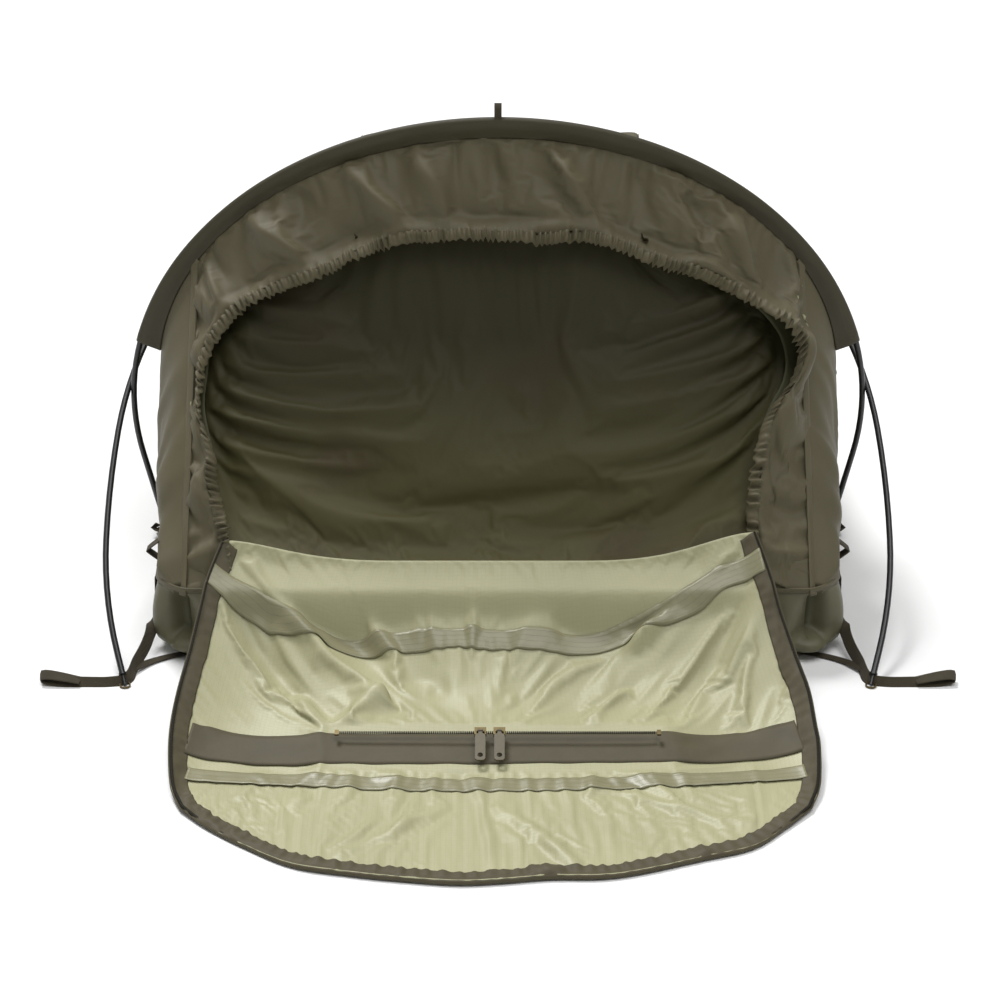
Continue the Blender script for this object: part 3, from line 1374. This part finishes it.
# ---- net ----------------------------------------------------------------------------------
NET_FOLDS = [
    # height at the middle, rise to the right, sag at the middle, depth, width
    (0.440, 0.030, 0.010, 0.006, 0.010),
    (0.418, 0.055, 0.016, 0.010, 0.011),
    (0.392, 0.060, 0.018, 0.009, 0.010),
    (0.362, 0.062, 0.020, 0.012, 0.012),
    (0.330, 0.060, 0.022, 0.010, 0.011),
    (0.296, 0.050, 0.022, 0.009, 0.014),
    (0.262, 0.030, 0.018, 0.006, 0.013),
    (0.225, 0.012, 0.014, 0.004, 0.015),
    (0.190, -0.006, 0.010, 0.004, 0.014),
]


def rim_and_away(count):
    """The doorway's rim as x and height, with directions away from its middle."""
    rim = spline(RIM, count)
    return rim, unit(rim - (0.0, 0.30))


def make_net():
    """Slack mosquito net across the doorway, pulled into folds between its sides."""
    m, n = 131, 97
    rim, away = rim_and_away(400)
    wide = rim + away * 0.012
    wide[:, 1] = np.maximum(wide[:, 1], 0.142)
    edge = wide[(rim[:, 1] > 0.156)]
    cut = int(len(edge) * 0.36)
    left = spline(np.concatenate([[(-0.366, 0.143)], edge[:cut]]), n)
    right = spline(np.concatenate([[(0.350, 0.143)], edge[::-1][:cut]]), n)
    top = spline(edge[cut - 1:len(edge) - cut + 1], m)
    bottom = np.linspace(left[0], right[0], m)
    flat = coons(bottom, top, left, right)
    grid = facade(flat[..., 0], flat[..., 1])
    back = -normals(grid)
    back *= np.sign(back[m // 2, n // 2, 1])
    x, z = grid[..., 0], grid[..., 2]
    u, v = np.linspace(0, 1, m)[:, None], np.linspace(0, 1, n)[None]
    inside = smooth(u * 12) * smooth((1 - u) * 12) * smooth(v * 8) * smooth((1 - v) * 8)
    sink = 0.036 * np.sin(math.pi * u) ** 0.6 * (v * (1 - v) * (0.6 + 2.6 * v))
    sink = 0.012 * smooth(v * 5) + sink
    share = (x + 0.38) / 0.75
    folds = np.zeros((m, n))
    for height, rise, sag, depth, width in NET_FOLDS:
        middle_z = height + rise * (share - 0.5) - sag * 4 * share * (1 - share)
        middle_z = middle_z + 0.004 * np.sin(share * 9 + height * 60)
        fan = width * (0.55 + 0.9 * np.sin(math.pi * np.clip(share, 0, 1)) ** 0.8)
        folds += 1.5 * depth * np.exp(-((z - middle_z) / fan) ** 2)
    folds += 0.0016 * rough(x, z * 2.2, 0.13, 91)
    grid = grid + back * (sink - folds * inside)[..., None]
    grid[..., 1] -= 0.010 * (1 - smooth(v * 9))
    pins = np.zeros((m, n))
    pins[0] = pins[-1] = pins[:, 0] = pins[:, -1] = 1.0
    grid = settle(grid, pins, 0.016, frames=12, pull=(0, -0.5, -2.0), bend=0.12)
    grid = refine(grid, 2)
    obj = cloth_piece("mosquito_net_cloth", grid, [NET], body=None, thick=0.0005,
                      flip=True)
    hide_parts("mosquito_net", "net_zip_tape")
    obj.parent = None
    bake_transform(obj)


def make_sill():
    """Strip of shell fabric between the groundsheet's seam and the door's fold."""
    x = np.linspace(-SEAM_X, SEAM_X, 121)
    share = np.linspace(0, 1, 9)
    top = SILL_Z - 0.005 + 0.006 * smooth((np.abs(x) - 0.33) / 0.05)
    z = 0.104 + (top - 0.104)[:, None] * share[None]
    grid = facade(x[:, None] * np.ones((1, 9)), z)
    grid[..., 1] -= 0.0015
    obj = cloth_piece("sill_cloth", grid, [OLIVE, LINING], flip=True)
    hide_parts("sill_panel")


def make_body_zip():
    """Olive zip flange that shows between the hem and the net."""
    rim, away = rim_and_away(300)
    rows = []
    for share in np.linspace(0, 1, 6):
        flat = rim + away * (-0.004 + 0.022 * share)
        flat[:, 1] = np.maximum(flat[:, 1], 0.11)
        point = facade(flat[:, 0], flat[:, 1])
        point[:, 1] += 0.006 + 0.004 * share
        rows.append(point)
    grid = np.stack(rows, 1)
    obj = cloth_piece("doorway_zip_flange", grid, [FLANGE], thick=0.0006,
                      flip=True)
    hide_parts("doorway_zip_tape")


# ---- webbing ------------------------------------------------------------------------------
def strap(name, path, sideways, width, nodes):
    """Woven ribbon along a path; sideways gives its width's direction at each point."""
    count = 90
    line = spline(path, count)
    side = spline(sideways, count)
    side = unit(side)
    along = unit(np.gradient(line, axis=0))
    side -= along * (side * along).sum(1)[:, None]
    side = unit(side)
    rows = [line + side * (width / 2 * share) for share in np.linspace(-1, 1, 9)]
    grid = np.stack(rows, 1)
    obj = mesh_object(name, grid, grid_faces(*grid.shape[:2]), arc_uv(grid))
    obj.data.materials.append(WEB)
    modifier = obj.modifiers.new("webbing_thickness", "SOLIDIFY")
    modifier.thickness = WEBBING
    modifier.offset = 0.0
    bevel = obj.modifiers.new("soft_edges", "BEVEL")
    bevel.width = 0.0004
    bevel.segments = 2
    bevel.limit_method = "ANGLE"
    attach(obj, "shell")
    if nodes:
        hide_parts(*nodes)


def side_strap(name, side, path, sideways, width, nodes):
    """A strap given for the right side, mirrored when side is -1."""
    mirror = np.array((side, 1, 1))
    strap(name, np.array(path) * mirror, np.array(sideways, float) * mirror, width, nodes)


def make_straps():
    """Webbing from the groundsheet's sides to the pole feet, ending in peg loops."""
    ring = 0.0075
    low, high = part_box("strap_eyelets")
    front_foot = (high.x - ring, low.y + ring)
    rear_foot = (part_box("front_pole_tips")[1].x - 0.0106, high.y - ring)
    for side, name in SIDES:
        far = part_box("front_peg_strap_" + name)[1 if side > 0 else 0].x * side
        x, y = front_foot
        wall_y = FEET_Y + 0.136
        path = [(0.4660, wall_y + 0.006, 0.095), (0.4672, wall_y + 0.002, 0.060),
                (0.4700, wall_y - 0.012, 0.036), (0.4760, wall_y - 0.050, 0.020),
                (x - 0.0090, y + 0.042, 0.0105), (x - 0.0020, y + 0.010, 0.0050),
                (x + 0.022, y + 0.002, 0.0036), (x + 0.055, y + 0.003, 0.0034),
                (far - 0.026, y + 0.006, 0.0036), (far - 0.008, y + 0.008, 0.0062),
                (far - 0.002, y + 0.008, 0.0100), (far - 0.009, y + 0.008, 0.0128),
                (far - 0.026, y + 0.007, 0.0112), (x + 0.060, y + 0.005, 0.0056)]
        across = [(0, 1, 0), (0, 1, 0.2), (0.1, 0.8, 0.6), (0.25, 0.5, 0.85), (0.45, 0.45, 0.75),
                  (0.35, 0.9, 0.45), (0.1, 1, 0.2)] + [(0.0, 1, 0.08)] * 7
        side_strap("front_strap_" + name, side, path, across, STRAP, ["front_peg_strap_" + name])
        leg = [(0.404, FEET_Y + 0.096, 0.0022), (0.436, FEET_Y + 0.086, 0.0024),
               (0.466, FEET_Y + 0.068, 0.0030), (x - 0.0060, y + 0.034, 0.0070)]
        across = [(0.1, 1, 0), (0.2, 1, 0), (0.5, 0.8, 0.2), (0.5, 0.6, 0.5)]
        side_strap("front_strap_leg_" + name, side, leg, across, 0.010, [])
        x, y = rear_foot
        wall_y = FEET_Y + 0.372
        path = [(0.4785, wall_y - 0.004, 0.095), (0.4788, wall_y, 0.055),
                (0.4790, wall_y + 0.006, 0.024), (0.4800, wall_y + 0.022, 0.007),
                (x, y, 0.0034), (x + 0.008, y + 0.024, 0.0036), (x + 0.020, y + 0.040, 0.0080),
                (x + 0.030, y + 0.044, 0.0105), (x + 0.022, y + 0.050, 0.0115),
                (x + 0.010, y + 0.038, 0.0070), (x + 0.006, y + 0.024, 0.0052)]
        across = [(0, 1, 0), (0, 1, 0.1), (0.2, 0.9, 0.5), (0.8, 0.3, 0.4), (1, 0, 0.1),
                  (0.9, -0.4, 0.1), (0.6, -0.8, 0.2), (0.4, -0.9, 0.2), (0.6, -0.8, 0.2),
                  (0.8, -0.5, 0.1), (0.9, -0.4, 0.1)]
        side_strap("rear_strap_" + name, side, path, across, STRAP, ["rear_peg_strap_" + name])
        foot_loop(side, name)


def foot_loop(side, name):
    """Folded peg loop at a corner of the tail."""
    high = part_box("foot_peg_loop_" + name)[1]
    x = 0.250
    path = [(x - 0.004, TAIL_Y - 0.004, 0.012), (x, TAIL_Y + 0.010, 0.004),
            (x + 0.006, TAIL_Y + 0.030, 0.003), (x + 0.014, high.y - 0.006, 0.006),
            (x + 0.016, high.y - 0.001, 0.0105), (x + 0.013, high.y - 0.008, 0.0125),
            (x + 0.006, TAIL_Y + 0.026, 0.0060)]
    side_strap("foot_loop_" + name, side, path, [(1, 0.1, 0)] * 7, 0.020,
               ["foot_peg_loop_" + name])


def make_tabs():
    """Guy loops: one on the ridge and a folded triangle on each side."""
    low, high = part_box("ridge_guy_loop")
    middle = (low + high) / 2
    z0, z1 = low.z - 0.004, high.z
    path = [(0, middle.y + 0.0035, z0), (0, middle.y + 0.0060, z0 + 0.010),
            (0, middle.y + 0.0055, z1 - 0.005), (0, middle.y, z1),
            (0, middle.y - 0.0055, z1 - 0.005), (0, middle.y - 0.0060, z0 + 0.010),
            (0, middle.y - 0.0035, z0)]
    strap("ridge_loop", path, np.array([(1.0, 0, 0)] * 7), 0.0100, ["ridge_guy_loop"])
    for side, name in SIDES:
        low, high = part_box("side_guy_tab_" + name)
        x0, x1 = min(abs(low.x), abs(high.x)), max(abs(low.x), abs(high.x))
        y, z = (low.y + high.y) / 2, (low.z + high.z) / 2
        path = [(x0 - 0.003, y, z - 0.015), (x0 + 0.006, y, z - 0.008), (x1 - 0.001, y, z - 0.001),
                (x1 - 0.001, y, z + 0.001), (x0 + 0.006, y, z + 0.008), (x0 - 0.003, y, z + 0.015)]
        side_strap("side_tab_" + name, side, path, [(0, 1, 0)] * 6, 0.016,
                   ["side_guy_tab_" + name])


# ---- hardware that keeps its CAD shape ----------------------------------------------------
CAD_FINISH = {
    "front_pole_tubes": POLE, "rear_pole_tubes": POLE, "front_pole_tips": POLE,
    "rear_pole_tips": POLE, "front_pole_ferrules": ALUMINIUM, "rear_pole_ferrules": ALUMINIUM,
    "front_pole_shock_cord": ELASTIC, "rear_pole_shock_cord": ELASTIC, "strap_eyelets": BRASS,
    "vent_slider_left": BRASS, "vent_slider_right": BRASS, "vent_pull_left": PULL,
    "vent_pull_right": PULL, "vent_zip_stops": BRASS,
}
BEVELLED = ("vent_slider_left", "vent_slider_right", "vent_pull_left", "vent_pull_right",
            "vent_zip_stops")


def finish_hardware():
    """Materials for the nodes that keep their CAD shape, and worn edges on the small ones."""
    for node, material in CAD_FINISH.items():
        obj = frame["nodes"][node]
        obj.data.materials.clear()
        obj.data.materials.append(material)
        if node in BEVELLED:
            bevel = obj.modifiers.new("worn_edges", "BEVEL")
            bevel.width = 0.00035
            bevel.segments = 3
            bevel.limit_method = "ANGLE"


# ---- studio -------------------------------------------------------------------------------
def make_studio():
    """Pale floor, soft light from above and behind, and the photograph's camera."""
    reach = 60
    corners = [(-reach, -reach), (reach, -reach), (reach, reach), (-reach, reach)]
    floor = mesh_object("studio_floor", [(x, y, -0.0005) for x, y in corners], [(0, 1, 2, 3)])
    n = Nodes("studio_floor")
    n.set(Base_Color=(0.86, 0.86, 0.86, 1), Roughness=0.9)
    floor.data.materials.append(n.material)
    world = bpy.data.worlds.new("studio")
    world.use_nodes = True
    background = world.node_tree.nodes["Background"]
    background.inputs[0].default_value = (1.0, 1.0, 1.0, 1)
    background.inputs[1].default_value = 0.30
    bpy.context.scene.world = world
    lamps = (("key", (-0.9, 1.7, 3.0), 18, 2.5), ("top", (0.5, -0.7, 3.0), 40, 1.5))
    for name, place, spread, power in lamps:
        data = bpy.data.lights.new(name, "SUN")
        data.angle = math.radians(spread)
        data.energy = power
        lamp = bpy.data.objects.new(name, data)
        lamp.location = place
        lamp.rotation_euler = (-lamp.location).to_track_quat("-Z", "Y").to_euler()
        bpy.context.scene.collection.objects.link(lamp)
    camera = bpy.data.objects.new("camera", bpy.data.cameras.new("camera"))
    camera.data.lens = CAMERA_LENS
    camera.location = (CAMERA_SIDE, FEET_Y - CAMERA_BACK, CAMERA_HEIGHT)
    camera.rotation_euler = (math.radians(90 - CAMERA_DIP), 0, 0)
    bpy.context.scene.collection.objects.link(camera)
    bpy.context.scene.camera = camera
    bpy.context.scene.view_settings.view_transform = "Standard"


make_studio()
finish_hardware()
make_sleeves()
make_visor()
make_upper()
make_tub()
make_sill()
make_body_zip()
make_door()
make_net()
make_straps()
make_tabs()
